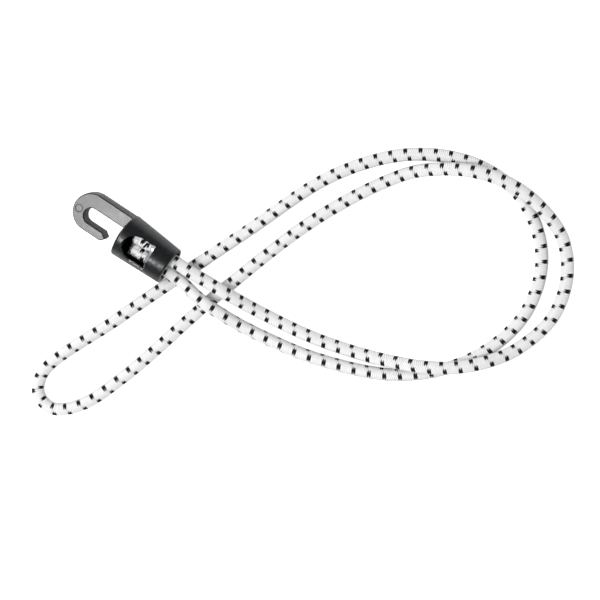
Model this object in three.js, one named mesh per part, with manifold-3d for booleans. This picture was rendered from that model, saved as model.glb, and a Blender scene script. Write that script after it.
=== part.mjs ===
// Loop bungee cord: one elastic cord whose two ends are clipped together inside the barrel of a moulded hook.
// Millimetres, +Z up. The hook's barrel lies along X with its mouth towards +X, and the cord lies on z = 0.

import * as THREE from 'three';
import { mergeVertices } from 'three/addons/utils/BufferGeometryUtils.js';
import Module from 'manifold-3d';

const wasm = await Module();
wasm.setup();

// Clearances
const fitGap = 0.3;
const cutOverrun = 4;

// Cord: a braided sheath over a rubber core
const cordDiameter = 6;
const sheathWall = 0.7;
const strandSpacing = cordDiameter + fitGap;
const strandInset = 5;
const exitRun = 9;
const sheathSides = 10;
const coreSides = 8;
const stepsBetweenPoints = 2;

// Barrel of the hook: tapered, closed by a shallow dome, its outside leaning a little against the bore
const barrelLength = 25.6;
const barrelRearDiameter = 20.8;
const barrelMouthDiameter = 17.8;
const barrelLean = THREE.MathUtils.degToRad(1.9);
const domeHeight = 1.6;
const rearEdgeRadius = 0.9;
const mouthEdgeRadius = 0.9;
const mouthChamfer = 0.7;
const barrelSides = 64;

// Chamber for the clipped ends, and the bore that the two strands leave by
const boreClearance = 0.35;
const chamberDiameter = 16;
const chamberFloorWall = 2.4;
const chamberCornerRadius = 1.2;
const shoulderDepth = 17.2;

// Window in the upper wall: straight towards the mouth, half round towards the hook, a little to the arm's side
const windowWidth = 12;
const windowShift = 0.5;
const windowStart = 3;
const windowEnd = 16.85;

// Hook plate: shank, round bend and free arm about a slot that is centred on the barrel
const plateThickness = 7.5;
const plateEdgeBevel = 0.4;
const plateBevelSteps = 2;
const hookReach = 26.1;
const slotWidth = 7.3;
const slotDepth = 20;
const shankWidth = 6.3;
const armWidth = 3.9;
const throatWidth = 5.95;
const noseRadius = 0.6;
const noseHeight = 1.95;
const tipCornerRadius = 1;
const tipCutAngle = THREE.MathUtils.degToRad(47);
const tipLeadAngle = THREE.MathUtils.degToRad(35);
const shankEmbed = 3;
const bendSteps = 26;
const tipSteps = 4;

// Round ejector mark on the upper face of the bend
const ejectorDiameter = 3.4;
const ejectorDepth = 0.15;
const ejectorSides = 24;

// Steel clip that holds the two strands together behind the shoulder
const clipWidth = 2.2;
const clipThickness = 1.3;
const clipEdgeRadius = 0.45;
const clipOpening = 1.2;
const clipSteps = 44;

// Clipped ends of the cord, the first a little longer, turned as a pair against the plate
const longEndStart = 5.4;
const shortEndStart = 6.6;
const pairTurn = THREE.MathUtils.degToRad(15);
const neckDiameter = 5;
const neckRun = 2.2;
const endFlare = 0.2;
const endFlareRun = 1.5;
const endSides = 20;

// How the hook lies: level, with its plate rolled about the barrel's axis
const hookRoll = THREE.MathUtils.degToRad(7);

// Route of the free cord on the floor, as points of its centre line from one strand round to the other
const cordRoute = [
  [43, 2.8, 10.1], [51.4, 3, 9.4], [60.4, 3.2, 6.3], [71.4, 3.8, 3.6], [95.4, 7.1, 3.15], [117.4, 12.9, 3.5],
  [132.4, 18.6, 6.5], [145.4, 24.7, 9.3], [157.4, 32.4, 9.6], [167.6, 42.3, 8.4], [175.4, 54.1, 4.4],
  [180.4, 73.6, 3.3], [175.9, 92.1, 3.2], [164.9, 105.2, 3.6], [148.9, 111.7, 7.3], [133.4, 112.8, 9.6],
  [117.9, 109, 9.4], [104.4, 101.8, 6.6], [91.4, 90.6, 3.6], [69.8, 54.9, 3.3], [49.7, 0.1, 3.05],
  [33.6, -54.9, 3.05], [23.4, -77.9, 3.05], [12.9, -86.7, 3.05], [4.1, -84.5, 3.05], [0.6, -74.6, 3.05],
  [16.4, -35.9, 3.05], [44.3, 28.2, 3.05], [65.4, 74.1, 3.05], [89.4, 100, 3.05], [116.4, 111.7, 3.05],
  [141.4, 109.6, 3.05], [162.4, 92.6, 3.05], [169.4, 66.6, 3.05], [159.9, 37.4, 3.05], [137.9, 14.9, 3.05],
  [103.4, 0.4, 3.3], [69.4, -5.9, 3.7], [56.4, -6.3, 7.1], [45.9, -5.8, 9.3],
];

// Finishes
const blackPlastic = new THREE.MeshStandardMaterial({ color: 0x17181a, roughness: 0.45, metalness: 0 });
const whiteBraid = new THREE.MeshStandardMaterial({ color: 0xe8e8e6, roughness: 0.9, metalness: 0 });
const paleRubber = new THREE.MeshStandardMaterial({ color: 0xd9cfb4, roughness: 0.8, metalness: 0 });
const zincSteel = new THREE.MeshStandardMaterial({ color: 0xb9bcbf, roughness: 0.4, metalness: 0.9 });

// Sizes that follow from the ones above
const cordRadius = cordDiameter / 2;
const strandOffset = strandSpacing / 2;
const rearRadius = barrelRearDiameter / 2;
const mouthRadius = barrelMouthDiameter / 2;
const chamberRadius = chamberDiameter / 2;
const boreRadius = strandOffset + cordRadius + boreClearance;
const slotHalf = slotWidth / 2;
const neckRadius = neckDiameter / 2;
const freeStart = barrelLength - strandInset;
const barrelMiddle = barrelLength / 2;
const barrelShift = (barrelMiddle - rearEdgeRadius) * Math.sin(barrelLean);
const axisHeight = rearRadius - barrelMiddle * Math.sin(barrelLean) * Math.sin(hookRoll);
const hookCentre = (barrelLength + mouthRadius * Math.sin(barrelLean) - hookReach) / 2;
const axisPlace = new THREE.Vector3(-hookCentre, -barrelShift, axisHeight);

// Triangles with three different corners: those that close up on an axis drop out
function wholeTriangles(index) {
  const kept = [];
  for (let i = 0; i < index.length; i += 3) {
    const [a, b, c] = index.slice(i, i + 3);
    if (a !== b && b !== c && c !== a) kept.push(a, b, c);
  }
  return kept;
}

// A closed geometry as a solid for cutting and joining, and back again
function toSolid(geometry) {
  const plain = geometry.index ? geometry.toNonIndexed() : geometry.clone();
  plain.deleteAttribute('normal');
  plain.deleteAttribute('uv');
  const merged = mergeVertices(plain);
  const vertProperties = new Float32Array(merged.attributes.position.array);
  const triVerts = new Uint32Array(wholeTriangles(merged.index.array));
  return new wasm.Manifold(new wasm.Mesh({ numProp: 3, vertProperties, triVerts }));
}

function toGeometry(solid) {
  const mesh = solid.getMesh();
  const geometry = new THREE.BufferGeometry();
  const positions = new Float32Array(mesh.vertProperties);
  geometry.setAttribute('position', new THREE.BufferAttribute(positions, mesh.numProp));
  geometry.setIndex(new THREE.BufferAttribute(new Uint32Array(mesh.triVerts), 1));
  geometry.computeVertexNormals();
  return geometry;
}

// A body of revolution about X from points given as (radius, x)
function revolveAboutX(profile, sides) {
  const geometry = new THREE.LatheGeometry(profile, sides);
  geometry.rotateZ(-Math.PI / 2);
  return geometry;
}

// Points of an arc about a centre, from one angle to another
function arcPoints(centreX, centreY, radius, from, to, steps) {
  const arc = new THREE.EllipseCurve(centreX, centreY, radius, radius, from, to, to < from, 0);
  return arc.getPoints(steps);
}

// Outside of the barrel: dome, rounded rear edge, cone and rounded mouth
function barrelProfile() {
  const quarter = Math.PI / 2;
  const rise = rearRadius - rearEdgeRadius;
  const domeRadius = (rise * rise + domeHeight * domeHeight) / (2 * domeHeight);
  const domeAngle = Math.asin(rise / domeRadius);
  const dome = arcPoints(0, domeRadius - domeHeight, domeRadius, -quarter, domeAngle - quarter, 5);
  const rearEdge = arcPoints(rise, rearEdgeRadius, rearEdgeRadius, -quarter, 0, 4);
  const mouthX = barrelLength - mouthEdgeRadius;
  const mouthEdge = arcPoints(mouthRadius - mouthEdgeRadius, mouthX, mouthEdgeRadius, 0, quarter, 4);
  const points = [...dome, ...rearEdge, ...mouthEdge, new THREE.Vector2(0, barrelLength)];
  points[0].x = 0;
  return points;
}

// Inside of the barrel: chamber, shoulder and bore, with the mouth's chamfer run on past the end
function hollowProfile() {
  const cornerX = chamberFloorWall + chamberCornerRadius;
  const cornerMiddle = chamberRadius - chamberCornerRadius;
  const corner = arcPoints(cornerMiddle, cornerX, chamberCornerRadius, -Math.PI / 2, 0, 3);
  return [
    new THREE.Vector2(0, chamberFloorWall),
    ...corner,
    new THREE.Vector2(chamberRadius, shoulderDepth),
    new THREE.Vector2(boreRadius, shoulderDepth),
    new THREE.Vector2(boreRadius, barrelLength - mouthChamfer),
    new THREE.Vector2(boreRadius + mouthChamfer + cutOverrun, barrelLength + cutOverrun),
    new THREE.Vector2(0, barrelLength + cutOverrun),
  ];
}

// Cutter for the window, drawn from above and run up through the wall
function windowCutter() {
  const half = windowWidth / 2;
  const corners = [new THREE.Vector2(windowEnd, -half), new THREE.Vector2(windowEnd, half)];
  const roundEnd = arcPoints(windowStart + half, 0, half, Math.PI / 2, Math.PI * 3 / 2, bendSteps);
  const shape = new THREE.Shape([...corners, ...roundEnd]);
  const geometry = new THREE.ExtrudeGeometry(shape, { depth: rearRadius + cutOverrun, bevelEnabled: false });
  geometry.translate(0, -windowShift, 0);
  return geometry;
}

// Plate outline: along the shank, round the bend, along the arm to its nose and back up the slot
function plateOutline() {
  const top = slotHalf + shankWidth;
  const bottom = -slotHalf - armWidth;
  const bendRadius = (top - bottom) / 2;
  const middle = (top + bottom) / 2;
  const bend = arcPoints(bendRadius - hookReach, middle, bendRadius, Math.PI / 2, Math.PI * 3 / 2, bendSteps);
  const slotEnd = arcPoints(slotHalf - slotDepth, 0, slotHalf, Math.PI * 3 / 2, Math.PI / 2, bendSteps);
  const shank = [new THREE.Vector2(shankEmbed, slotHalf), new THREE.Vector2(shankEmbed, top)];
  return new THREE.Shape([...shank, ...bend, ...armTip(bottom), ...slotEnd]);
}

// Arm tip: a corner, a cut up to the nose, and a lead-in from the nose to the slot
function armTip(bottom) {
  const cutTurn = tipCutAngle - Math.PI / 2;
  const leadTurn = Math.PI / 2 - tipLeadAngle;
  const noseX = -throatWidth - noseRadius;
  const noseY = bottom + noseHeight;
  const cornerY = bottom + tipCornerRadius;
  const rise = noseY - cornerY + (tipCornerRadius - noseRadius) * Math.cos(tipCutAngle);
  const run = rise / Math.tan(tipCutAngle) + (tipCornerRadius - noseRadius) * Math.sin(tipCutAngle);
  const corner = arcPoints(noseX - run, cornerY, tipCornerRadius, -Math.PI / 2, cutTurn, tipSteps);
  const nose = arcPoints(noseX, noseY, noseRadius, cutTurn, leadTurn, tipSteps);
  const leadRise = -slotHalf - noseY - noseRadius * Math.sin(leadTurn);
  const leadX = noseX + noseRadius * Math.cos(leadTurn) - leadRise / Math.tan(tipLeadAngle);
  return [...corner, ...nose, new THREE.Vector2(leadX, -slotHalf)];
}

// Plate with its edges rounded, centred on the barrel's axis
function plateGeometry() {
  const geometry = new THREE.ExtrudeGeometry(plateOutline(), {
    depth: plateThickness - 2 * plateEdgeBevel,
    bevelEnabled: true,
    bevelThickness: plateEdgeBevel,
    bevelSize: plateEdgeBevel,
    bevelOffset: -plateEdgeBevel,
    bevelSegments: plateBevelSteps,
  });
  geometry.translate(0, 0, plateEdgeBevel - plateThickness / 2);
  return geometry;
}

// Shallow disc that the ejector pin leaves in the middle of the bend
function ejectorCutter() {
  const radius = ejectorDiameter / 2;
  const geometry = new THREE.CylinderGeometry(radius, radius, ejectorDepth * 2, ejectorSides);
  geometry.rotateX(Math.PI / 2);
  geometry.translate(-(hookReach + slotDepth) / 2, 0, plateThickness / 2);
  return geometry;
}

// Hook: plate and barrel in one moulding, then the hollow and the window cut from both
function hookGeometry() {
  const barrel = revolveAboutX(barrelProfile(), barrelSides);
  barrel.translate(-barrelMiddle, 0, 0);
  barrel.rotateZ(-barrelLean);
  barrel.translate(barrelMiddle, 0, 0);
  const plate = toSolid(plateGeometry()).subtract(toSolid(ejectorCutter()));
  const hollow = toSolid(revolveAboutX(hollowProfile(), barrelSides));
  return toGeometry(toSolid(barrel).add(plate).subtract(hollow).subtract(toSolid(windowCutter())));
}

// Half section of one clipped end as (radius, x): flared cut face, neck under the clip, full size in the bore
function endProfile(radius, neck, from, to) {
  const clipMiddle = shoulderDepth - fitGap - clipWidth / 2;
  return [
    new THREE.Vector2(radius + endFlare, from),
    new THREE.Vector2(radius, from + endFlareRun),
    new THREE.Vector2(radius, clipMiddle - clipWidth / 2 - neckRun),
    new THREE.Vector2(neck, clipMiddle - clipWidth / 2),
    new THREE.Vector2(neck, clipMiddle + clipWidth / 2),
    new THREE.Vector2(radius, clipMiddle + clipWidth / 2 + neckRun),
    new THREE.Vector2(radius, to),
  ];
}

// Sheath of a clipped end: the outer profile out and the inner one back
function endSheathGeometry(from) {
  const to = freeStart - fitGap;
  const outer = endProfile(cordRadius, neckRadius, from, to);
  const inner = endProfile(cordRadius - sheathWall, neckRadius - sheathWall, from, to).reverse();
  return revolveAboutX([...outer, ...inner, outer[0].clone()], endSides);
}

// Rubber of a clipped end, with the fit gap to its sheath
function endCoreGeometry(from) {
  const to = freeStart - fitGap;
  const shrink = sheathWall + fitGap;
  const side = endProfile(cordRadius - shrink, neckRadius - shrink, from, to);
  return revolveAboutX([new THREE.Vector2(0, from), ...side, new THREE.Vector2(0, to)], endSides);
}

// Middle line of the clip: an oval round both strands in a plane across the barrel, open below
class ClipCurve extends THREE.Curve {
  getPoint(t, target = new THREE.Vector3()) {
    const bend = neckRadius + fitGap + clipThickness / 2;
    const flat = strandSpacing;
    const half = Math.PI * bend;
    const s = clipOpening / 2 + t * (2 * flat + 2 * half - clipOpening);
    const ends = [flat / 2, flat / 2 + half, flat * 1.5 + half, flat * 1.5 + 2 * half];
    if (s < ends[0]) return target.set(0, s, -bend);
    if (s < ends[1]) {
      const angle = (s - ends[0]) / bend;
      return target.set(0, flat / 2 + bend * Math.sin(angle), -bend * Math.cos(angle));
    }
    if (s < ends[2]) return target.set(0, flat / 2 - (s - ends[1]), bend);
    if (s < ends[3]) {
      const angle = (s - ends[2]) / bend;
      return target.set(0, -flat / 2 - bend * Math.sin(angle), bend * Math.cos(angle));
    }
    return target.set(0, -flat / 2 + (s - ends[3]), -bend);
  }
}

// Strip section of the clip with rounded edges, as wide along the barrel as the clip
function clipGeometry() {
  const w = clipWidth / 2 - clipEdgeRadius;
  const h = clipThickness / 2 - clipEdgeRadius;
  const section = new THREE.Shape();
  section.absarc(h, w, clipEdgeRadius, 0, Math.PI / 2, false);
  section.absarc(-h, w, clipEdgeRadius, Math.PI / 2, Math.PI, false);
  section.absarc(-h, -w, clipEdgeRadius, Math.PI, Math.PI * 3 / 2, false);
  section.absarc(h, -w, clipEdgeRadius, Math.PI * 3 / 2, Math.PI * 2, false);
  const extrudePath = new ClipCurve();
  return new THREE.ExtrudeGeometry(section, { steps: clipSteps, extrudePath, curveSegments: 2 });
}

// Curve through the route whose steps follow the points, so that bends get shorter steps than straights
class RouteCurve extends THREE.CatmullRomCurve3 {
  getUtoTmapping(u) {
    return u;
  }
}

// Places a point of the hook's own frame in the part's frame
function hookToPart(x, y, z) {
  const point = new THREE.Vector3(x, y, z);
  point.applyAxisAngle(new THREE.Vector3(1, 0, 0), hookRoll);
  return point.add(axisPlace);
}

// A point on the middle line of one strand in the bore
function strandPoint(x, side) {
  const reach = side * strandOffset;
  return hookToPart(x, reach * Math.cos(pairTurn), reach * Math.sin(pairTurn));
}

// Whole route: straight out of the bore, over the floor and straight back into it
function cordCurve() {
  const out = [strandPoint(freeStart, 1), strandPoint(barrelLength + exitRun, 1)];
  const back = [strandPoint(barrelLength + exitRun / 2, -1), strandPoint(freeStart, -1)];
  const floor = cordRoute.map(([x, y, z]) => new THREE.Vector3(x, y, z));
  return new RouteCurve([...out, ...floor, ...back]);
}

// Round section, with a hole where a second radius is given
function ringShape(outer, inner, sides) {
  const rim = new THREE.Path().absarc(0, 0, outer, 0, Math.PI * 2, false);
  const shape = new THREE.Shape(rim.getPoints(sides / 2));
  if (inner > 0) shape.holes.push(new THREE.Path().absarc(0, 0, inner, 0, Math.PI * 2, true));
  return shape;
}

// Free stretch of the cord as a tube along the route
function freeTube(outer, inner, sides) {
  const extrudePath = cordCurve();
  const steps = stepsBetweenPoints * (extrudePath.points.length - 1);
  const shape = ringShape(outer, inner, sides);
  return new THREE.ExtrudeGeometry(shape, { steps, extrudePath, curveSegments: sides / 2 });
}

function namedMesh(name, geometry, material) {
  const mesh = new THREE.Mesh(geometry, material.clone());
  mesh.name = name;
  return mesh;
}

// Assembly
const bungee = new THREE.Group();

const hookGroup = new THREE.Group();
hookGroup.position.copy(axisPlace);
hookGroup.rotation.x = hookRoll;
hookGroup.add(namedMesh('hook', hookGeometry(), blackPlastic));

const pair = new THREE.Group();
pair.rotation.x = pairTurn;
const clip = namedMesh('clip', clipGeometry(), zincSteel);
clip.position.x = shoulderDepth - fitGap - clipWidth / 2;
pair.add(clip);

for (const [label, side, from] of [['a', 1, longEndStart], ['b', -1, shortEndStart]]) {
  const sheath = namedMesh(`end_${label}_sheath`, endSheathGeometry(from), whiteBraid);
  const core = namedMesh(`end_${label}_core`, endCoreGeometry(from), paleRubber);
  sheath.position.y = side * strandOffset;
  core.position.y = side * strandOffset;
  pair.add(sheath, core);
}
hookGroup.add(pair);
bungee.add(hookGroup);

bungee.add(namedMesh('cord_sheath', freeTube(cordRadius, cordRadius - sheathWall, sheathSides), whiteBraid));
bungee.add(namedMesh('cord_core', freeTube(cordRadius - sheathWall - fitGap, 0, coreSides), paleRubber));

export default bungee;
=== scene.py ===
import math

import bmesh
import bpy
import numpy as np
from mathutils import Matrix, Vector


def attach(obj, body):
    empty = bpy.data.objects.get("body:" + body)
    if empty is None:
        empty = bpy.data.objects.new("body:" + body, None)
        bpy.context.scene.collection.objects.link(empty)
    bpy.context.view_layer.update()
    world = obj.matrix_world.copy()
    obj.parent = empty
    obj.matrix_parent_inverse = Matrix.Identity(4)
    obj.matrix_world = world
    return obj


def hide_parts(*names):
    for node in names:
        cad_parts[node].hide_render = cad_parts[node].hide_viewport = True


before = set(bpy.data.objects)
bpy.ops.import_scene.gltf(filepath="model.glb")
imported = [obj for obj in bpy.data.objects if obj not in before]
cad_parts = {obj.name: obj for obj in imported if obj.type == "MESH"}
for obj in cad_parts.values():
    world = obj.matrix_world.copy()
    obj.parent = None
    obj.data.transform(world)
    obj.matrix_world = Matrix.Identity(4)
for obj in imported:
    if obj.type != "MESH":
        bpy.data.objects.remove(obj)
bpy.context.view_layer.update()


# Camera
# A long lens almost straight above the cord, leaning a little towards the loops. The hook's barrel lies
# along X, so the picture's up direction is turned about a third of a right angle from +Y.
EYE = Vector((0.19970, 0.15517, 0.98350))
TARGET = Vector((0.08195, 0.01782, 0.0))
PICTURE_UP = Vector((-0.5423, 0.8402, 0.0))
LENS_MM = 133.8
SENSOR_MM = 36.0
NEAREST_SEEN = 0.01

camera = bpy.data.objects.new("camera", bpy.data.cameras.new("camera"))
camera.data.lens = LENS_MM
camera.data.sensor_width = SENSOR_MM
camera.data.sensor_fit = "HORIZONTAL"
camera.data.clip_start = NEAREST_SEEN
back = (EYE - TARGET).normalized()
right = PICTURE_UP.cross(back).normalized()
camera_turn = Matrix((right, back.cross(right), back)).transposed().to_4x4()
camera.matrix_world = Matrix.Translation(EYE) @ camera_turn
bpy.context.scene.collection.objects.link(camera)
bpy.context.scene.camera = camera


# Free cord
# Elastic cord with a 16-carrier polyester braid over a rubber core. Each yarn goes over two and under two.
# Two neighbouring black yarns make the tracer, which shows as a pair of short floats at each quarter turn.
# The braid is made as it leaves the machine: a lattice of crossings on a tube that follows the cord's route.
CORD_DIAMETER = 0.006
CORD_ROUTE = [
    (0.0430, 0.0028, 0.0101), (0.0514, 0.0030, 0.0094), (0.0604, 0.0032, 0.0063),
    (0.0714, 0.0038, 0.0036), (0.0954, 0.0071, 0.00315), (0.1174, 0.0129, 0.0035),
    (0.1324, 0.0186, 0.0065), (0.1454, 0.0247, 0.0093), (0.1574, 0.0324, 0.0096),
    (0.1676, 0.0423, 0.0084), (0.1754, 0.0541, 0.0044), (0.1804, 0.0736, 0.0033),
    (0.1759, 0.0921, 0.0032), (0.1649, 0.1052, 0.0036), (0.1489, 0.1117, 0.0073),
    (0.1334, 0.1128, 0.0096), (0.1179, 0.1090, 0.0094), (0.1044, 0.1018, 0.0066),
    (0.0914, 0.0906, 0.0036), (0.0698, 0.0549, 0.0033), (0.0497, 0.0001, 0.00305),
    (0.0336, -0.0549, 0.00305), (0.0234, -0.0779, 0.00305), (0.0129, -0.0867, 0.00305),
    (0.0041, -0.0845, 0.00305), (0.0006, -0.0746, 0.00305), (0.0164, -0.0359, 0.00305),
    (0.0443, 0.0282, 0.00305), (0.0654, 0.0741, 0.00305), (0.0894, 0.1000, 0.00305),
    (0.1164, 0.1117, 0.00305), (0.1414, 0.1096, 0.00305), (0.1624, 0.0926, 0.00305),
    (0.1694, 0.0666, 0.00305), (0.1599, 0.0374, 0.00305), (0.1379, 0.0149, 0.00305),
    (0.1034, 0.0004, 0.0033), (0.0694, -0.0059, 0.0037), (0.0564, -0.0063, 0.0071),
    (0.0459, -0.0058, 0.0093),
]
SAMPLES_BETWEEN_POINTS = 60
STRAND_OFFSET = 0.00315
HOOK_ROLL = math.radians(7.0)
PAIR_TURN = math.radians(15.0)
BARREL_PLACE = (0.0001, -0.0004, 0.01035)
BARREL_LENGTH = 0.0256
STRAND_INSET = 0.005
EXIT_RUN = 0.009
BRAID_PITCH = 0.0069
YARNS_EACH_WAY = 8
YARN_CREST = 0.00004
YARN_GROOVE = -0.00022
FLOAT_END = -0.00012
BRAID_LIE = [
    (0.00, 0.5, 55), (0.05, -1.0, 45), (0.09, -0.5, 40), (0.13, 1.0, 50), (0.20, -1.0, 45),
    (0.29, -3.0, 50), (0.33, -2.5, 70), (0.38, -3.5, 35), (0.43, -3.5, 55), (0.47, -3.0, 35),
    (0.50, -2.0, 40), (0.54, -4.0, 80), (0.60, -3.0, 65), (0.65, -3.0, 35), (0.70, -4.5, 60),
    (0.79, -8.0, 60), (0.85, -10.5, 75), (0.94, -10.0, 95), (0.99, -8.5, 115), (1.03, -10.0, 80),
]
TONE_SCATTER = (12.9898, 78.233, 43758.5453)
SCATTERED_TONE = 0.6
# Painted sheen: how much lighter the floats of the first family are drawn.
PAINTED_FAMILY_SHEEN = 0.4
STREAK_SHIFTS = (0.37, 0.61)
TRACER_MIDDLE = (2.0, 1.0)
TRACER_REPEAT = (16.0, 8.0)
LATTICE_BLANK = 6.0
FLOAT_HALF_WIDTH = 1.78
FLOAT_HALF_LENGTH = 1.75
FLOAT_LEAN = 0.25
FLOAT_ROUNDING = 3.0
FLOAT_RIM = (0.75, 1.15)
RIM_WANDER = 1.1
BESIDE_TRACER = (1.2, 2.2)
GREY_OVER_TRACER = 0.86
WHITE_YARN = ((0.88, 0.88, 0.88, 1.0), (0.98, 0.98, 0.98, 1.0))
BLACK_YARN = ((0.003, 0.003, 0.0035, 1.0), (0.012, 0.012, 0.013, 1.0))
FILAMENT_STRETCH = (1.2, 9.0, 1.0)
# Span of the clouds over which the painted shade between tufts fades out.
TUFT_SPAN = (0.38, 0.58)
# Span of the lift over which the painted groove shade fades out.
GROOVE_SPAN = (0.1, 0.9)


def hook_to_part(x, y, z):
    """Turns places in the hook's own frame by its roll about the barrel, and moves them to its place."""
    cos_roll, sin_roll = math.cos(HOOK_ROLL), math.sin(HOOK_ROLL)
    place_x, place_y, place_z = BARREL_PLACE
    return (x + place_x, y * cos_roll - z * sin_roll + place_y, y * sin_roll + z * cos_roll + place_z)


def strand_point(x, side):
    """A place on the middle line of one of the two strands in the bore, which are turned as a pair."""
    reach = side * STRAND_OFFSET
    return hook_to_part(x, reach * math.cos(PAIR_TURN), reach * math.sin(PAIR_TURN))


def smooth_route(points):
    """Centripetal Catmull-Rom curve: each span is a cubic whose end slopes come from the neighbouring spans,
    weighted by the square root of their lengths. Returns the sampled points and the arc length at each."""
    points = np.asarray(points, dtype=float)
    padded = np.vstack([2 * points[0] - points[1], points, 2 * points[-1] - points[-2]])
    p0, p1, p2, p3 = padded[:-3], padded[1:-2], padded[2:-1], padded[3:]
    d0 = np.linalg.norm(p1 - p0, axis=1)[:, None] ** 0.5
    d1 = np.linalg.norm(p2 - p1, axis=1)[:, None] ** 0.5
    d2 = np.linalg.norm(p3 - p2, axis=1)[:, None] ** 0.5
    slope1 = ((p1 - p0) / d0 - (p2 - p0) / (d0 + d1) + (p2 - p1) / d1) * d1
    slope2 = ((p2 - p1) / d1 - (p3 - p1) / (d1 + d2) + (p3 - p2) / d2) * d1
    t = np.linspace(0, 1, SAMPLES_BETWEEN_POINTS, endpoint=False)[None, :, None]
    cubic = (
        p1[:, None] + slope1[:, None] * t
        + (3 * (p2 - p1) - 2 * slope1 - slope2)[:, None] * t**2
        + (2 * (p1 - p2) + slope1 + slope2)[:, None] * t**3
    )
    curve = np.vstack([cubic.reshape(-1, 3), points[-1:]])
    lengths = np.concatenate([[0], np.cumsum(np.linalg.norm(np.diff(curve, axis=0), axis=1))])
    return curve, lengths


def directions_along(path, lengths, place):
    """The path's points at places along it, with the tangent, up and side directions there. The tangent is
    the chord from a cord's radius before to a radius after, and up is straight up made square to it."""

    def path_at(distance):
        """The point at each distance, straight between the path's samples."""
        return np.stack([np.interp(distance, lengths, path[:, axis]) for axis in range(3)], axis=1)

    reach = CORD_DIAMETER / 2
    chord = path_at(place + reach) - path_at(place - reach)
    tangent = chord / np.linalg.norm(chord, axis=1)[:, None]
    up = np.array([0.0, 0.0, 1.0]) - tangent * tangent[:, 2:]
    up /= np.linalg.norm(up, axis=1)[:, None]
    return path_at(place), tangent, up, np.cross(tangent, up)


def first_family_on_top(first_yarn, second_yarn):
    """Whether a yarn of the first helix family covers one of the second: it goes over two and under two, and
    each next yarn does so one crossing further on."""
    return (first_yarn - second_yarn) % 4 < 2


def braid_relief(p, q):
    """How far each corner of the lattice stands out from the tube. The middle of a crossing is on the crest,
    and the corner between four crossings is in the groove. Halfway between two crossings of one yarn is its
    crest where it lies over both, the dip at a float's end where it lies over one, the groove under both."""
    odd_p, odd_q = p % 2 == 1, q % 2 == 1
    yarn_p, yarn_q = p // 2, q // 2
    here = first_family_on_top(yarn_p, yarn_q).astype(int)
    over_second = here + first_family_on_top(yarn_p, (q - 1) // 2)
    over_first = here + first_family_on_top((p - 1) // 2, yarn_q)
    along_first = np.choose(over_second, [YARN_GROOVE, FLOAT_END, YARN_CREST])
    along_second = np.choose(over_first, [YARN_CREST, FLOAT_END, YARN_GROOVE])
    at_crossing = np.where(odd_p & odd_q, YARN_CREST, YARN_GROOVE)
    return np.where(odd_p & ~odd_q, along_first, np.where(odd_q & ~odd_p, along_second, at_crossing))


def crossing_corners(grid):
    """The four corners of every crossing, from a grid that holds the rings as rows and every second column
    of each. A crossing starts on one ring, widens to right and left on the next, and closes on the third."""
    rows, half = grid.shape
    slot = np.arange(half)[None, :]
    start = np.arange(rows - 2)[:, None]
    even = start % 2 == 0
    right_slot = np.where(even, slot, (slot + 1) % half)
    left_slot = np.where(even, (slot - 1) % half, slot)
    first, last = grid[start, slot], grid[start + 2, slot]
    right_corner, left_corner = grid[start + 1, right_slot], grid[start + 1, left_slot]
    return np.stack([first, right_corner, last, left_corner], axis=-1).reshape(-1, 4)


def closing_faces(number):
    """Triangles that close both ends: teeth between the crossings that stick out, and a fan to a pole, which
    is the first corner after the grid's for the first end and the second for the last."""
    rows, half = number.shape
    slot = np.arange(half)
    after = (slot + 1) % half
    first_pole = np.full(half, number.size)
    last_pole = first_pole + 1
    return [
        np.stack([number[0, slot], number[0, after], number[1, slot]], axis=1),
        np.stack([number[rows - 1, after], number[rows - 1, slot], number[rows - 2, slot]], axis=1),
        np.stack([number[0, after], number[0, slot], first_pole], axis=1),
        np.stack([number[rows - 1, slot], number[rows - 1, after], last_pole], axis=1),
    ]


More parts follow.
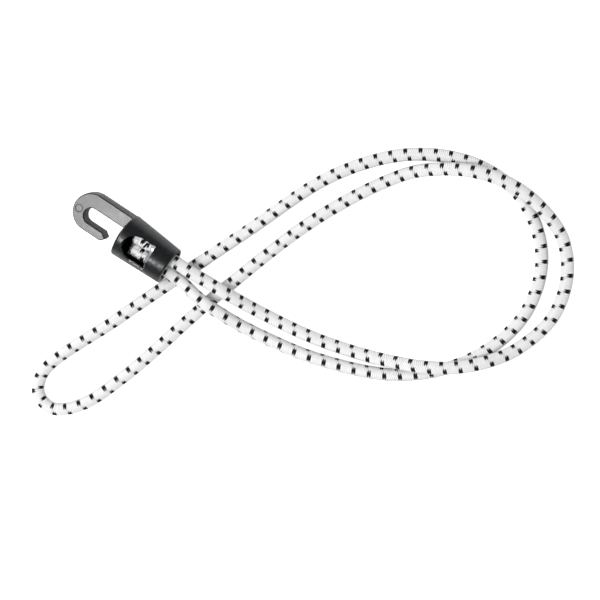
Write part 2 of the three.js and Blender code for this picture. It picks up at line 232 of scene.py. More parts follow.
def record_weave(mesh, p, q, relief):
    """Writes what the braid's material reads. Lift goes from 0 in the groove to 1 on the crest. Tone and
    sheen
    is one number for each float: a scattered tone, and a painted sheen for its family, as filaments shine by
    their direction. The yarn map runs along and across each float, and the lattice map holds p and q,
    unwrapped where the ring closes. Both stay blank on the caps."""
    lift = np.zeros(len(mesh.vertices))
    lift[: relief.size] = ((relief - YARN_GROOVE) / (YARN_CREST - YARN_GROOVE)).reshape(-1)
    mesh.attributes.new("lift", "FLOAT", "POINT").data.foreach_set("value", lift)

    corner_p, corner_q = crossing_corners(p), crossing_corners(q)
    first_yarn, second_yarn = corner_p[:, 0] // 2, corner_q[:, 0] // 2
    first_on_top = first_family_on_top(first_yarn, second_yarn)
    by_yarn, by_float, spread = TONE_SCATTER
    float_number = np.where(first_on_top, first_yarn, second_yarn + 0.5) * by_yarn
    float_number += (first_yarn - second_yarn) // 4 * by_float
    scattered = np.sin(float_number) * spread % 1.0
    tone_and_sheen = np.zeros(len(mesh.polygons))
    # Random tone for each float plus painted sheen: the first family's floats are drawn lighter.
    tone_and_sheen[: len(scattered)] = SCATTERED_TONE * scattered + PAINTED_FAMILY_SHEEN * first_on_top
    mesh.attributes.new("tone_and_sheen", "FLOAT", "FACE").data.foreach_set("value", tone_and_sheen)

    columns = 2 * p.shape[1]
    column = corner_p - corner_q
    wrap = np.round((column - column[:, :1]) / columns) * columns / 2
    corner_p, corner_q = corner_p - wrap, corner_q + wrap
    first_yarn, second_yarn, on_top = first_yarn[:, None], second_yarn[:, None], first_on_top[:, None]
    first_shift, second_shift = STREAK_SHIFTS[0] * first_yarn, STREAK_SHIFTS[1] * second_yarn
    along = np.where(on_top, corner_q / 2 + first_shift, corner_p / 2 + second_shift)
    across = np.where(on_top, corner_p / 2 - first_yarn, corner_q / 2 - second_yarn)
    for name, blank, u, v in (("yarn", 0.0, along, across), ("lattice", LATTICE_BLANK, corner_p, corner_q)):
        uv = np.full((len(mesh.loops), 2), blank, dtype=np.float32)
        uv[: u.size] = np.stack([u.reshape(-1), v.reshape(-1)], axis=1)
        mesh.uv_layers.new(name=name).data.foreach_set("uv", uv.reshape(-1))


def braided_tube(name, path, lengths, lie, radius_stops, recess=0.0):
    """Braid on a tube about a path. Half steps of the two helix families number the corners p and q, so that
    the place along the path is pitch * (p + q) / (4 * yarns) and the angle is 2 pi * (q - p) / (4 * yarns).
    Ring p + q holds every second column q - p. The radius is the tube's plus the relief of the crossings. The
    lie gives stops as a place along the path in metres, how far the braid is drawn on there in millimetres,
    and its roll from straight up in degrees. The recess is how deep the first end's cap is sunk."""
    columns = 4 * YARNS_EACH_WAY
    stop_place, drawn, stop_roll = np.array(lie, dtype=float).T
    stop_ring = (stop_place - drawn / 1000) / BRAID_PITCH * columns
    first_ring, last_ring = 2 * np.ceil(np.interp([0, lengths[-1]], stop_place, stop_ring) / 2).astype(int)
    ring = np.arange(first_ring, last_ring + 1)[:, None]
    column = 2 * np.arange(columns // 2)[None, :] + ring % 2
    p = (ring - column) // 2
    q = (ring + column) // 2
    relief = braid_relief(p, q)

    place = np.clip(np.interp(ring[:, 0], stop_ring, stop_place), 0, lengths[-1])
    centre, tangent, up, side = directions_along(path, lengths, place)
    roll = np.radians(np.interp(place, stop_place, stop_roll))
    angle = 2 * np.pi * column / columns + roll[:, None]
    radius = np.interp(place, *zip(*radius_stops))[:, None] + relief
    verts = (
        centre[:, None]
        + up[:, None] * (radius * np.cos(angle))[..., None]
        + side[:, None] * (radius * np.sin(angle))[..., None]
    )
    poles = np.array([centre[0] + recess * tangent[0], centre[-1]])

    number = np.arange(p.size).reshape(p.shape)
    groups = [crossing_corners(number)] + closing_faces(number)
    faces = [face for group in groups for face in group.tolist()]
    mesh = bpy.data.meshes.new(name)
    mesh.from_pydata(np.vstack([verts.reshape(-1, 3), poles]), [], faces)
    record_weave(mesh, p, q, relief)
    mesh.shade_smooth()
    mesh.update()
    piece = bpy.data.objects.new(name, mesh)
    bpy.context.scene.collection.objects.link(piece)
    return piece


class Finish:
    """The nodes that give one surface, or the surround, its look. An input is given as a value or as another
    node's socket, which is then linked."""

    def __init__(self, owner):
        """Starts with the nodes that a new material or world has."""
        owner.use_nodes = True
        self.tree = owner.node_tree

    def fill(self, node, inputs):
        """Links the inputs that are sockets and sets the others on the node itself."""
        for key, value in inputs.items():
            if isinstance(value, bpy.types.NodeSocket):
                self.tree.links.new(value, node.inputs[key])
            else:
                node.inputs[key].default_value = value

    def add(self, kind, settings=None, inputs=None):
        """Adds a node with its settings and inputs."""
        node = self.tree.nodes.new(kind)
        for key, value in (settings or {}).items():
            setattr(node, key, value)
        self.fill(node, inputs or {})
        return node

    def surface(self, inputs):
        """Fills the inputs of the surface's own shader."""
        self.fill(self.tree.nodes["Principled BSDF"], inputs)

    def place(self):
        """The place on the piece, in metres."""
        return self.add("ShaderNodeTexCoord").outputs["Object"]

    def stretch(self, place, scale):
        """The place with each of its axes scaled."""
        return self.add("ShaderNodeMapping", {}, {"Vector": place, "Scale": scale}).outputs["Vector"]

    def noise(self, place, scale, detail):
        """Clouds about a half, smaller by the scale and finer by the detail."""
        inputs = {"Vector": place, "Scale": scale, "Detail": detail}
        return self.add("ShaderNodeTexNoise", {}, inputs).outputs["Fac"]

    def math(self, operation, first, second=0.0):
        """One operation on two values."""
        return self.add("ShaderNodeMath", {"operation": operation}, {0: first, 1: second}).outputs[0]

    def ramp(self, value, span=(0.0, 1.0), results=(0.0, 1.0)):
        """Goes evenly through the results while the value goes through its span, and is level outside it."""
        inputs = {"Value": value}
        inputs["From Min"], inputs["From Max"] = span
        inputs["To Min"], inputs["To Max"] = results
        return self.add("ShaderNodeMapRange", {}, inputs).outputs["Result"]

    def mix(self, amount, first, second):
        """Goes from the first colour to the second by the amount."""
        return self.add("ShaderNodeMix", {"data_type": "RGBA"}, {0: amount, 6: first, 7: second}).outputs[2]

    def shade(self, colour, shade):
        """The colour times the shade."""
        settings = {"data_type": "RGBA", "blend_type": "MULTIPLY"}
        return self.add("ShaderNodeMix", settings, {0: 1.0, 6: colour, 7: shade}).outputs[2]

    def bump(self, height, strength, distance):
        """The normal of a surface that stands out by the height times the distance."""
        inputs = {"Height": height, "Strength": strength, "Distance": distance}
        return self.add("ShaderNodeBump", {}, inputs).outputs["Normal"]


def tracer_floats(finish, lattice, place):
    """The black floats of the two tracer yarns lie about (1, 0) and (3, 2) in p and q, and again every 16 in
    p and 8 in q. Each is a leaning bar with round ends: its rim is where the cubes of the place across and
    along it, in half widths and half lengths, add up to about 1, and wanders a little. Returns how black the
    place is, and how far across it lies from the tracer's middle."""

    def from_middle(value, middle, repeat):
        """The value counted from the nearest middle, with one at every repeat."""
        moved = finish.math("SUBTRACT", value, middle)
        inputs = {0: moved, 1: repeat / 2, 2: -repeat / 2}
        return finish.add("ShaderNodeMath", {"operation": "WRAP"}, inputs).outputs[0]

    def share(distance, half):
        """The distance either way as a share of the bar's half, raised to the power that rounds its ends."""
        of_half = finish.math("DIVIDE", finish.math("ABSOLUTE", distance), half)
        return finish.math("POWER", of_half, FLOAT_ROUNDING)

    wander = finish.math("SUBTRACT", finish.noise(place, scale=900.0, detail=1.0), 0.5)
    unevenness = finish.math("MULTIPLY", wander, RIM_WANDER)
    across = from_middle(lattice["X"], TRACER_MIDDLE[0], TRACER_REPEAT[0])
    along = from_middle(lattice["Y"], TRACER_MIDDLE[1], TRACER_REPEAT[1])

    def black_float(side):
        """1 on the float of one tracer yarn, 0 off it."""
        run = finish.math("SUBTRACT", along, side)
        lean = finish.math("MULTIPLY", run, FLOAT_LEAN)
        offset = finish.math("ADD", finish.math("SUBTRACT", across, side), lean)
        bar = finish.math("ADD", share(offset, FLOAT_HALF_WIDTH), share(run, FLOAT_HALF_LENGTH))
        return finish.ramp(finish.math("ADD", bar, unevenness), FLOAT_RIM, (1.0, 0.0))

    return finish.math("MAXIMUM", black_float(1.0), black_float(-1.0)), finish.math("ABSOLUTE", across)


def braid_material(name, float_tone_and_sheen, painted_groove_shade, painted_shade_between_tufts):
    """Polyester braid, white with black tracer floats. Filaments are fine streaks along each yarn from its
    own map. Each float is darkened by its random tone and by a painted sheen for its family, down to the
    float tone and sheen where both are 0. The grooves are darkened by painted shade down to the groove
    shade, and the white yarns over the tracer look a little greyer. Loosened yarns are drawn as tufts about
    a millimetre wide: patches of painted shade between them, down to the tuft shade."""
    material = bpy.data.materials.new(name)
    finish = Finish(material)
    place = finish.place()
    lattice_map = finish.add("ShaderNodeUVMap", {"uv_map": "lattice"}).outputs["UV"]
    lattice = finish.add("ShaderNodeSeparateXYZ", {}, {"Vector": lattice_map}).outputs
    yarn_map = finish.add("ShaderNodeUVMap", {"uv_map": "yarn"}).outputs["UV"]
    lift = finish.add("ShaderNodeAttribute", {"attribute_name": "lift"}).outputs["Fac"]
    tone_and_sheen = finish.add("ShaderNodeAttribute", {"attribute_name": "tone_and_sheen"}).outputs["Fac"]
    filaments = finish.noise(finish.stretch(yarn_map, FILAMENT_STRETCH), scale=3.0, detail=3.0)

    is_black, from_tracer = tracer_floats(finish, lattice, place)
    greyed = finish.shade(finish.mix(filaments, *WHITE_YARN),
                          finish.ramp(from_tracer, BESIDE_TRACER, (GREY_OVER_TRACER, 1.0)))
    # Each float is darkened by its random tone and its painted sheen.
    shine = finish.ramp(tone_and_sheen, results=(float_tone_and_sheen, 1.0))
    # Painted shade in patches, standing in for the shade between tufts of loosened yarn.
    painted_tuft_shade = finish.ramp(finish.noise(place, scale=1100.0, detail=1.0), TUFT_SPAN, (painted_shade_between_tufts, 1.0))
    white = finish.shade(greyed, finish.math("MULTIPLY", shine, painted_tuft_shade))
    coloured = finish.mix(is_black, white, finish.mix(filaments, *BLACK_YARN))
    # Painted shade in the grooves between yarns, deepest where the lift is 0.
    painted_shade_in_grooves = finish.ramp(lift, GROOVE_SPAN, (painted_groove_shade, 1.0))
    finish.surface({
        "Base Color": finish.shade(coloured, painted_shade_in_grooves),
        "Normal": finish.bump(filaments, strength=0.35, distance=0.0001),
        "Roughness": 0.75,
        "Specular IOR Level": 0.15,
    })
    return material


strand_start = BARREL_LENGTH - STRAND_INSET
cord_points = (
    [strand_point(strand_start, 1), strand_point(BARREL_LENGTH + EXIT_RUN, 1)]
    + CORD_ROUTE
    + [strand_point(BARREL_LENGTH + EXIT_RUN / 2, -1), strand_point(strand_start, -1)]
)
cord_path, cord_lengths = smooth_route(cord_points)
cord_radius = ((0.0, CORD_DIAMETER / 2), (cord_lengths[-1], CORD_DIAMETER / 2))
cord = braided_tube("cord_braid", cord_path, cord_lengths, BRAID_LIE, cord_radius)
tight_braid = braid_material("polyester braid", float_tone_and_sheen=0.88, painted_groove_shade=0.56, painted_shade_between_tufts=1.0)
cord.data.materials.append(tight_braid)
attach(cord, "cord")
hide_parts("cord_sheath")


# Clipped ends
# The cord's two ends, braided as the rest, cut square and mushroomed by the clip that grips them side by
# side. The cut has loosened their yarns into tufts, drawn as painted shade between them, and frayed the
# rim, and the rubber threads show inside it.
END_STARTS = {"a": (1, 0.0054), "b": (-1, 0.0066)}
END_STOP = 0.0203
END_SAMPLES = 60
END_LIES = {
    "a": ((0.0, 0.4, 187), (0.005, 0.4, 187), (0.0066, 1.2, 97), (0.0077, 1.2, 97), (0.009, 1.2, 147),
          (0.02, 1.2, 147)),
    "b": ((0.0, 0.6, 143), (0.02, 0.6, 143)),
}
END_PROFILE = ((0.0, 0.00245), (0.0003, 0.0029), (0.0009, 0.00325), (0.0022, 0.00315), (0.004, 0.00305))
NECK_PROFILE = ((0.0125, 0.003), (0.0147, 0.0025), (0.0169, 0.0025), (0.0191, 0.003), (0.0203, 0.003))
END_RECESS = 0.0015
FRAY_COUNT = 160
LONGEST_FRAY = {"a": 0.00045, "b": 0.0011}
SHORTEST_FRAY_PART = 0.4
FRAY_LEAN = (0.5, 0.5)
FRAY_CURL = (0.0, 0.6)
FRAY_REACH = (0.0023, 0.0030)
FRAY_ROOT_DEPTH = 0.0002
FRAY_RADIUS = 0.00003
FRAY_TAPER = 0.8
FRAY_RINGS = 5
FRAY_SIDES = 3
FRAY_SEED = 5
CUT_FILAMENTS = ((0.70, 0.70, 0.69, 1.0), (0.95, 0.95, 0.94, 1.0))


def frayed_rim(name, side, start, longest, seed):
    """Loose filaments round the rim of a cut end. Each is a tapered tube of three sides whose middle line
    leaves the rim outwards along the cord, leans by a random amount and curls by the square of its length.
    The lean and the curl are drawn about a mean with a spread, the rest evenly between two limits."""
    rng = np.random.default_rng(seed)
    angle = rng.uniform(0, 2 * np.pi, FRAY_COUNT)[:, None]
    length = rng.uniform(SHORTEST_FRAY_PART * longest, longest, FRAY_COUNT)[:, None]
    lean = rng.normal(*FRAY_LEAN, FRAY_COUNT)[:, None]
    curl = rng.normal(*FRAY_CURL, FRAY_COUNT)[:, None]
    t = np.linspace(0, 1, FRAY_RINGS)[None, :]
    reach = rng.uniform(*FRAY_REACH, FRAY_COUNT)[:, None] + length * lean * t
    turn = angle + curl * length / (CORD_DIAMETER / 2) * t**2
    x = start + FRAY_ROOT_DEPTH - length * t
    y = reach * np.cos(turn) + side * STRAND_OFFSET
    z = reach * np.sin(turn)
    spin = 2 * np.pi * np.arange(FRAY_SIDES) / FRAY_SIDES
    thick = FRAY_RADIUS * (1 - FRAY_TAPER * t)[..., None]
    y = y[..., None] + thick * np.cos(spin)
    z = z[..., None] + thick * np.sin(spin)
    x = np.broadcast_to(x[..., None], y.shape)
    turned_y = y * math.cos(PAIR_TURN) - z * math.sin(PAIR_TURN)
    turned_z = y * math.sin(PAIR_TURN) + z * math.cos(PAIR_TURN)
    verts = np.stack(hook_to_part(x, turned_y, turned_z), axis=-1)
    number = np.arange(verts.size // 3).reshape(FRAY_COUNT, FRAY_RINGS, FRAY_SIDES)
    after = np.roll(number, -1, axis=2)
    walls = np.stack([number[:, :-1], number[:, 1:], after[:, 1:], after[:, :-1]], axis=-1).reshape(-1, 4)
    roots = number[:, 0]
    tips = number[:, -1, ::-1]
    mesh = bpy.data.meshes.new(name)
    mesh.from_pydata(verts.reshape(-1, 3), [], walls.tolist() + roots.tolist() + tips.tolist())
    mesh.shade_smooth()
    piece = bpy.data.objects.new(name, mesh)
    bpy.context.scene.collection.objects.link(piece)
    return piece


def filament_material():
    """Cut polyester filaments: white, a little uneven along each."""
    material = bpy.data.materials.new("cut filaments")
    finish = Finish(material)
    cloud = finish.noise(finish.place(), scale=2500.0, detail=2.0)
    finish.surface({"Base Color": finish.mix(cloud, *CUT_FILAMENTS), "Roughness": 0.6})
    return material


filaments = filament_material()
# Lighter copy of the braid for the ends in the dim window, painted light: less painted shade, no sheen.
loosened_braid_painted_lighter = braid_material("loosened braid painted lighter", float_tone_and_sheen=1.0, painted_groove_shade=0.94, painted_shade_between_tufts=0.66)
for label, (side, start) in END_STARTS.items():
    end_path = np.array([strand_point(x, side) for x in np.linspace(start, END_STOP, END_SAMPLES)])
    end_lengths = np.linspace(0, END_STOP - start, END_SAMPLES)
    profile = END_PROFILE + tuple((x - start, radius) for x, radius in NECK_PROFILE)
    end_lie = END_LIES[label]
    end_braid = braided_tube(f"end_{label}_braid", end_path, end_lengths, end_lie, profile, END_RECESS)
    end_braid.data.materials.append(loosened_braid_painted_lighter)
    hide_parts(f"end_{label}_sheath")
    fray = frayed_rim(f"end_{label}_fray", side, start, LONGEST_FRAY[label], seed=side + FRAY_SEED)
    fray.data.materials.append(filaments)
    for piece in (end_braid, fray):
        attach(piece, "cord_ends")


# Rubber core
# A bundle of about thirty square-cut latex threads, the colour of natural rubber, held tight by the braid.
# The threads show as pale lines along the core and as a mosaic where the cord is cut.
CORE_THREADS_PER_METRE = 850.0
THREAD_STRETCH = (0.02, 1.0, 1.0)
THREAD_EDGE = (0.02, 0.14)
LATEX = ((0.30, 0.24, 0.14, 1.0), (0.76, 0.67, 0.48, 1.0))


def latex_material():
    """Latex threads: cells across the core, drawn out along it, dark in the gaps between them."""
    material = bpy.data.materials.new("latex threads")
    finish = Finish(material)
    threads = finish.add("ShaderNodeTexVoronoi", {"feature": "DISTANCE_TO_EDGE"},
                         {"Vector": finish.stretch(finish.place(), THREAD_STRETCH),
                          "Scale": CORE_THREADS_PER_METRE, "Randomness": 0.6})
    on_thread = finish.ramp(threads.outputs["Distance"], THREAD_EDGE)
    finish.surface({
        "Base Color": finish.mix(on_thread, *LATEX),
        "Normal": finish.bump(on_thread, strength=0.6, distance=0.0001),
        "Roughness": 0.55,
    })
    return material


latex = latex_material()
for name in ("cord_core", "end_a_core", "end_b_core"):
    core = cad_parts[name]
    core.data.materials.clear()
    core.data.materials.append(latex)


# Clip
# A strip of zinc-plated steel clenched round both strands behind the shoulder, which keeps them from pulling
# out. The plating is bright with a slight bloom, and the press leaves fine marks across the strip.
ZINC = ((0.55, 0.57, 0.61, 1.0), (0.83, 0.85, 0.88, 1.0))
PRESS_MARK_STRETCH = (6.0, 1.0, 1.0)
ZINC_ROUGHNESS = (0.22, 0.42)


def plated_material():
    """Zinc plating: clouds of bloom in the colour, and marks drawn out across the strip in the polish."""
    material = bpy.data.materials.new("zinc plated steel")
    finish = Finish(material)
    place = finish.place()
    bloom = finish.noise(place, scale=900.0, detail=3.0)
    press_marks = finish.noise(finish.stretch(place, PRESS_MARK_STRETCH), scale=1200.0, detail=2.0)
    finish.surface({
        "Base Color": finish.mix(bloom, *ZINC),
        "Roughness": finish.ramp(press_marks, results=ZINC_ROUGHNESS),
        "Normal": finish.bump(press_marks, strength=0.3, distance=0.00005),
        "Metallic": 1.0,
    })
    return material


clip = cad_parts["clip"]
clip.data.materials.clear()
clip.data.materials.append(plated_material())


# Hook
# One injection moulding in black nylon: a J plate that runs into a tapered barrel with a window in its side.
# The plate's two faces are smooth and level from the tool, with round ejector marks. The rest is satin, and
# the plate's walls have draft from both halves of the tool, which meet in a parting line at mid height.
DOME_REACH = -0.0016
SMOOTH_ANGLE = math.radians(32.0)
MERGE_DISTANCE = 0.000001
CUT_DISTANCE = 0.0000001
PARTING_PUSH = 0.0002
LEVEL_COSINE = 0.999
OUTER_WALL_BEYOND = -0.0225
OUTER_WALL_BESIDE = 0.005
WINDOW_HALF = 0.006
WINDOW_SHIFT = 0.0005
WINDOW_STRAIGHT = (0.009, 0.01685)
# Painted highlight along the window's edges: its width, height limit, end share, spots and colour.
PAINTED_HIGHLIGHT_LINE = (0.0001, 0.0003)
PAINTED_HIGHLIGHT_ABOVE = 0.004
PAINTED_HIGHLIGHT_END_PART = 0.4
PAINTED_HIGHLIGHT_SPOTS = (0.40, 0.55)
PAINTED_HIGHLIGHT_COLOUR = (0.75, 0.75, 0.76, 1.0)
SATIN_BLACK = ((0.0015, 0.0025, 0.0035, 1.0), (0.0045, 0.006, 0.0075, 1.0))
SATIN_ROUGHNESS = (0.28, 0.47)
# Painted reflection of the floor on the lower half of the plate's outer walls.
PAINTED_REFLECTION_COLOUR = (0.042, 0.042, 0.044, 1.0)
PAINTED_REFLECTION_SPAN = (0.35, 0.65)
PAINTED_REFLECTION_AMOUNT = (0.65, 1.0)
PLAIN_SHINE = 0.5
UPPER_SHINE_LOST = 0.22
LOWER_SHINE_LOST = 0.12
# Painted light: the level faces' black, lighter than the satin black of the rest of the nylon.
LEVEL_FACE_BLACK_PAINTED_LIGHTER = ((0.020, 0.020, 0.021, 1.0), (0.034, 0.034, 0.036, 1.0))
SMOOTH_ROUGHNESS = (0.28, 0.32)
GLOSS_SPAN = (0.3, 0.7)
EJECTOR_PLACE = (-0.02305, 0.0)
EJECTOR_RADIUS = 0.0017
EJECTOR_LINE = (0.0001, 0.0003)
EJECTOR_COLOUR = (0.004, 0.004, 0.004, 1.0)
EJECTOR_ROUGHNESS = 0.5


def moulded_surface(name):
    """Starts a black nylon material. Returns it with its finish, the place in the hook's own frame, and that
    place's X, Y and Z."""
    material = bpy.data.materials.new(name)
    finish = Finish(material)
    inputs = {"Vector": finish.place(), "Location": BARREL_PLACE, "Rotation": (HOOK_ROLL, 0.0, 0.0)}
    own = finish.add("ShaderNodeMapping", {"vector_type": "TEXTURE"}, inputs).outputs["Vector"]
    return material, finish, own, finish.add("ShaderNodeSeparateXYZ", {}, {"Vector": own}).outputs


def painted_edge_highlight(finish, own, axes):
    """How much painted highlight the place gets: thin lines along the window's two straight edges and,
    weaker, along its straight end, only high on the barrel and broken into spots."""
    from_middle = finish.math("ABSOLUTE", finish.math("ADD", axes["Y"], WINDOW_SHIFT))

    def edge_line(distance):
        """1 where the distance is nearly nothing, 0 a little further off."""
        return finish.ramp(finish.math("ABSOLUTE", distance), PAINTED_HIGHLIGHT_LINE, (1.0, 0.0))

    after_start = finish.math("GREATER_THAN", axes["X"], WINDOW_STRAIGHT[0])
    before_end = finish.math("LESS_THAN", axes["X"], WINDOW_STRAIGHT[1])
    side_edges = finish.math("MULTIPLY", edge_line(finish.math("SUBTRACT", from_middle, WINDOW_HALF)),
                             finish.math("MULTIPLY", after_start, before_end))
    end_edge = finish.math("MULTIPLY", edge_line(finish.math("SUBTRACT", axes["X"], WINDOW_STRAIGHT[1])),
                           finish.math("LESS_THAN", from_middle, WINDOW_HALF))
    edges = finish.math("ADD", side_edges, finish.math("MULTIPLY", end_edge, PAINTED_HIGHLIGHT_END_PART))
    highlight_on_top = finish.math("MULTIPLY", edges, finish.math("GREATER_THAN", axes["Z"], PAINTED_HIGHLIGHT_ABOVE))
    spots = finish.ramp(finish.noise(own, scale=1300.0, detail=0.0), PAINTED_HIGHLIGHT_SPOTS)
    return finish.math("MULTIPLY", highlight_on_top, spots)


def plate_walls(finish, axes):
    """Whether the place is on the plate's outer walls, beside or beyond the slot, and whether it is also on
    their lower half, below the parting line."""
    on_plate = finish.math("LESS_THAN", axes["X"], DOME_REACH)
    beside = finish.math("GREATER_THAN", finish.math("ABSOLUTE", axes["Y"]), OUTER_WALL_BESIDE)
    beyond = finish.math("LESS_THAN", axes["X"], OUTER_WALL_BEYOND)
    outside = finish.math("MULTIPLY", finish.math("MAXIMUM", beside, beyond), on_plate)
    return outside, finish.math("MULTIPLY", finish.math("LESS_THAN", axes["Z"], 0.0), outside)


def satin_nylon():
    """Satin black: fine grain and mottled gloss. The plate's outer walls shine less, their lower half is
    drawn lighter in patches as a painted reflection of the floor, and a light line is painted along the
    window's straight edges as a highlight."""
    material, finish, own, axes = moulded_surface("satin black nylon")
    grain = finish.noise(own, scale=2600.0, detail=2.0)
    mottle = finish.noise(own, scale=700.0, detail=3.0)
    # Painted highlight: a light line along the window's edges, mixed into the satin black.
    satin_with_painted_highlight = finish.mix(painted_edge_highlight(finish, own, axes), finish.mix(mottle, *SATIN_BLACK), PAINTED_HIGHLIGHT_COLOUR)
    outside, below = plate_walls(finish, axes)
    # Painted reflection: the lower outer walls are drawn lighter, in patches, where they would reflect the
    # floor.
    painted_floor_reflection = finish.math("MULTIPLY", below, finish.ramp(mottle, PAINTED_REFLECTION_SPAN, PAINTED_REFLECTION_AMOUNT))
    upper_lost = finish.math("MULTIPLY", finish.math("SUBTRACT", outside, below), UPPER_SHINE_LOST)
    lower_lost = finish.math("MULTIPLY", below, LOWER_SHINE_LOST)
    shine = finish.math("SUBTRACT", finish.math("SUBTRACT", PLAIN_SHINE, upper_lost), lower_lost)
    finish.surface({
        "Base Color": finish.mix(painted_floor_reflection, satin_with_painted_highlight, PAINTED_REFLECTION_COLOUR),
        "Roughness": finish.ramp(mottle, GLOSS_SPAN, SATIN_ROUGHNESS),
        "Specular IOR Level": shine,
        "Normal": finish.bump(grain, strength=0.5, distance=0.000025),
    })
    return material


def tool_face_nylon():
    """The plate's level faces: smoother, so that they show the light overhead, with fine flow marks and a
    dull ring where the ejector pin stood, at its radius from the pin's middle. Their black is drawn lighter
    than the satin black of the rest, painted light from the lamp overhead."""
    material, finish, own, axes = moulded_surface("smooth black nylon")
    flow = finish.noise(own, scale=420.0, detail=4.0)
    grain = finish.noise(own, scale=2200.0, detail=2.0)
    squares = [finish.math("POWER", finish.math("SUBTRACT", axes[axis], middle), 2.0)
               for axis, middle in zip("XY", EJECTOR_PLACE)]
    from_pin = finish.math("SQRT", finish.math("ADD", *squares))
    from_ring = finish.math("ABSOLUTE", finish.math("SUBTRACT", from_pin, EJECTOR_RADIUS))
    off_ring = finish.ramp(from_ring, EJECTOR_LINE)
    smooth = finish.ramp(flow, GLOSS_SPAN, SMOOTH_ROUGHNESS)
    inputs = {0: off_ring, 2: EJECTOR_ROUGHNESS, 3: smooth}
    roughness = finish.add("ShaderNodeMix", {"data_type": "FLOAT"}, inputs).outputs[0]
    finish.surface({
        # Painted light: the level faces are a lighter black than the satin rest.
        "Base Color": finish.mix(off_ring, EJECTOR_COLOUR, finish.mix(flow, *LEVEL_FACE_BLACK_PAINTED_LIGHTER)),
        "Roughness": roughness,
        "Normal": finish.bump(grain, strength=0.35, distance=0.00002),
        "Specular IOR Level": PLAIN_SHINE,
    })
    return material


def hook_mesh(name, node):
    """A copy of the hook's CAD mesh with its doubled corners merged. The plate's walls are cut along the
    parting plane and the new corners pushed out along their normals, which gives the walls their draft. It is
    smooth except over edges sharper than the angle, and its normals lean towards the larger of the faces that
    meet, so that flat faces stay flat."""
    mesh = bpy.data.meshes.new(name)
    shell = bmesh.new()
    shell.from_mesh(node.data)
    bmesh.ops.remove_doubles(shell, verts=shell.verts, dist=MERGE_DISTANCE)
    walls = [face for face in shell.faces if face.calc_center_median().x < DOME_REACH]
    around = {part for face in walls for part in (*face.edges, *face.verts)}
    cut = bmesh.ops.bisect_plane(shell, geom=walls + list(around), dist=CUT_DISTANCE, plane_co=BARREL_PLACE,
                                 plane_no=hook_to_part(0.0, 0.0, 1.0) - np.array(BARREL_PLACE))
    shell.normal_update()
    corners = [part for part in cut["geom_cut"] if isinstance(part, bmesh.types.BMVert)]
    parting = [corner for corner in corners if corner.co.x < DOME_REACH]
    pushed = [(corner, corner.co + PARTING_PUSH * corner.normal) for corner in parting]
    for corner, place in pushed:
        corner.co = place
    bmesh.ops.triangulate(shell, faces=shell.faces)
    shell.to_mesh(mesh)
    shell.free()
    mesh.shade_smooth()
    mesh.set_sharp_from_angle(angle=SMOOTH_ANGLE)
    piece = bpy.data.objects.new(name, mesh)
    piece.modifiers.new("flat faces", "WEIGHTED_NORMAL").keep_sharp = True
    bpy.context.scene.collection.objects.link(piece)
    return piece


def smooth_level_faces(mesh):
    """Gives the plate's level faces, whose normals lie within the cosine of up or down, the second material,
    and makes every edge between them and the rest sharp."""
    normals = np.zeros(3 * len(mesh.polygons), dtype=np.float32)
    mesh.polygons.foreach_get("normal", normals)
    middles = np.zeros(3 * len(mesh.polygons), dtype=np.float32)
    mesh.polygons.foreach_get("center", middles)
    face_up = np.array([0.0, -math.sin(HOOK_ROLL), math.cos(HOOK_ROLL)])
    level = np.abs(normals.reshape(-1, 3) @ face_up) > LEVEL_COSINE
    level &= middles.reshape(-1, 3)[:, 0] < DOME_REACH / 2
    mesh.polygons.foreach_set("material_index", level.astype(np.int32))
    edge_of_corner = np.zeros(len(mesh.loops), dtype=np.int32)
    mesh.loops.foreach_get("edge_index", edge_of_corner)
    level_sides = np.bincount(edge_of_corner, weights=np.repeat(level, 3), minlength=len(mesh.edges))
    sharp = np.zeros(len(mesh.edges), dtype=bool)
    mesh.edges.foreach_get("use_edge_sharp", sharp)
    mesh.edges.foreach_set("use_edge_sharp", sharp | (level_sides == 1))


hook = hook_mesh("hook_moulding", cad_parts["hook"])
hook.data.materials.clear()
hook.data.materials.append(satin_nylon())
hook.data.materials.append(tool_face_nylon())
smooth_level_faces(hook.data)
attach(hook, "hook")
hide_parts("hook")


# Floor, backdrop and light
# White sheet under the cord and a white surround, as in a light tent, set to the same strength round the
# horizon and overhead. One soft lamp stands beyond the hook's bend and shades the cord; another, nearly
# overhead, shows in the hook's plate. Reflections see a dimmer surround, so that black plastic stays black.
FLOOR_SIZE = 6.0
FLOOR_COLOUR = (0.90, 0.90, 0.90, 1.0)
FLOOR_LIFT = 0.75
WHITE_LIGHT = (1.0, 1.0, 1.0, 1.0)
SIDE_PLACE = Vector((-1.15, -0.21, 1.15))
SIDE_SIZE = 0.9
SIDE_POWER = 9.0
TOP_DIRECTION = Vector((-0.118, -0.371, 0.921))
TOP_DISTANCE = 1.3
TOP_SIZE = 0.26
TOP_POWER = 9.0
HORIZON_STRENGTH = 0.76
ZENITH_STRENGTH = 0.76
HORIZON_TOP = 0.30
ZENITH_START = 0.75
REFLECTED_PART = 0.25


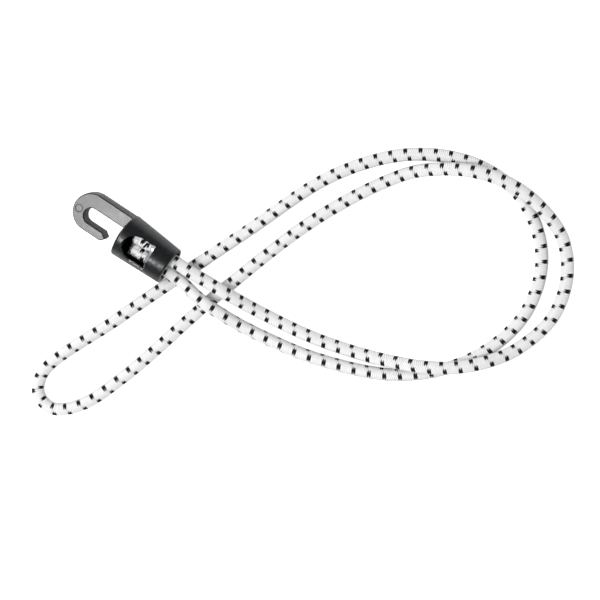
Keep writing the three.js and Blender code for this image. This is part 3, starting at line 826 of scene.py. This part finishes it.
def sheet_material():
    """A matt white sheet, which the camera alone sees lifted towards white."""
    material = bpy.data.materials.new("white sheet")
    finish = Finish(material)
    seen = finish.add("ShaderNodeLightPath").outputs["Is Camera Ray"]
    finish.surface({
        "Base Color": FLOOR_COLOUR,
        "Roughness": 0.9,
        "Specular IOR Level": 0.0,
        "Emission Strength": finish.math("MULTIPLY", seen, FLOOR_LIFT),
        "Emission Color": WHITE_LIGHT,
    })
    return material


def soft_lamp(name, place, aim, size, power):
    """A square area lamp at a place, turned to face the aim."""
    lamp = bpy.data.objects.new(name, bpy.data.lights.new(name, "AREA"))
    lamp.data.shape = "SQUARE"
    lamp.data.size = size
    lamp.data.energy = power
    lamp.location = place
    lamp.rotation_euler = (aim - place).to_track_quat("-Z", "Y").to_euler()
    bpy.context.scene.collection.objects.link(lamp)


floor_mesh = bpy.data.meshes.new("floor")
half = FLOOR_SIZE / 2
floor_corners = [(-half, -half, 0), (half, -half, 0), (half, half, 0), (-half, half, 0)]
floor_mesh.from_pydata(floor_corners, [], [(0, 1, 2, 3)])
floor_mesh.materials.append(sheet_material())
floor = bpy.data.objects.new("floor", floor_mesh)
bpy.context.scene.collection.objects.link(floor)

hook_middle = Vector(BARREL_PLACE)
top_place = hook_middle + TOP_DISTANCE * TOP_DIRECTION.normalized()
soft_lamp("side lamp", SIDE_PLACE, TARGET, SIDE_SIZE, SIDE_POWER)
soft_lamp("top lamp", top_place, hook_middle, TOP_SIZE, TOP_POWER)

world = bpy.data.worlds.new("surround")
surround = Finish(world)
direction = surround.add("ShaderNodeTexCoord").outputs["Generated"]
height = surround.add("ShaderNodeSeparateXYZ", {}, {"Vector": direction}).outputs["Z"]
strength = surround.ramp(height, (HORIZON_TOP, ZENITH_START), (HORIZON_STRENGTH, ZENITH_STRENGTH))
reflected = surround.add("ShaderNodeLightPath").outputs["Is Glossy Ray"]
dimmed = surround.ramp(reflected, results=(1.0, REFLECTED_PART))
surround.fill(world.node_tree.nodes["Background"],
              {"Color": WHITE_LIGHT, "Strength": surround.math("MULTIPLY", strength, dimmed)})
bpy.context.scene.world = world
bpy.context.scene.view_settings.view_transform = "Standard"
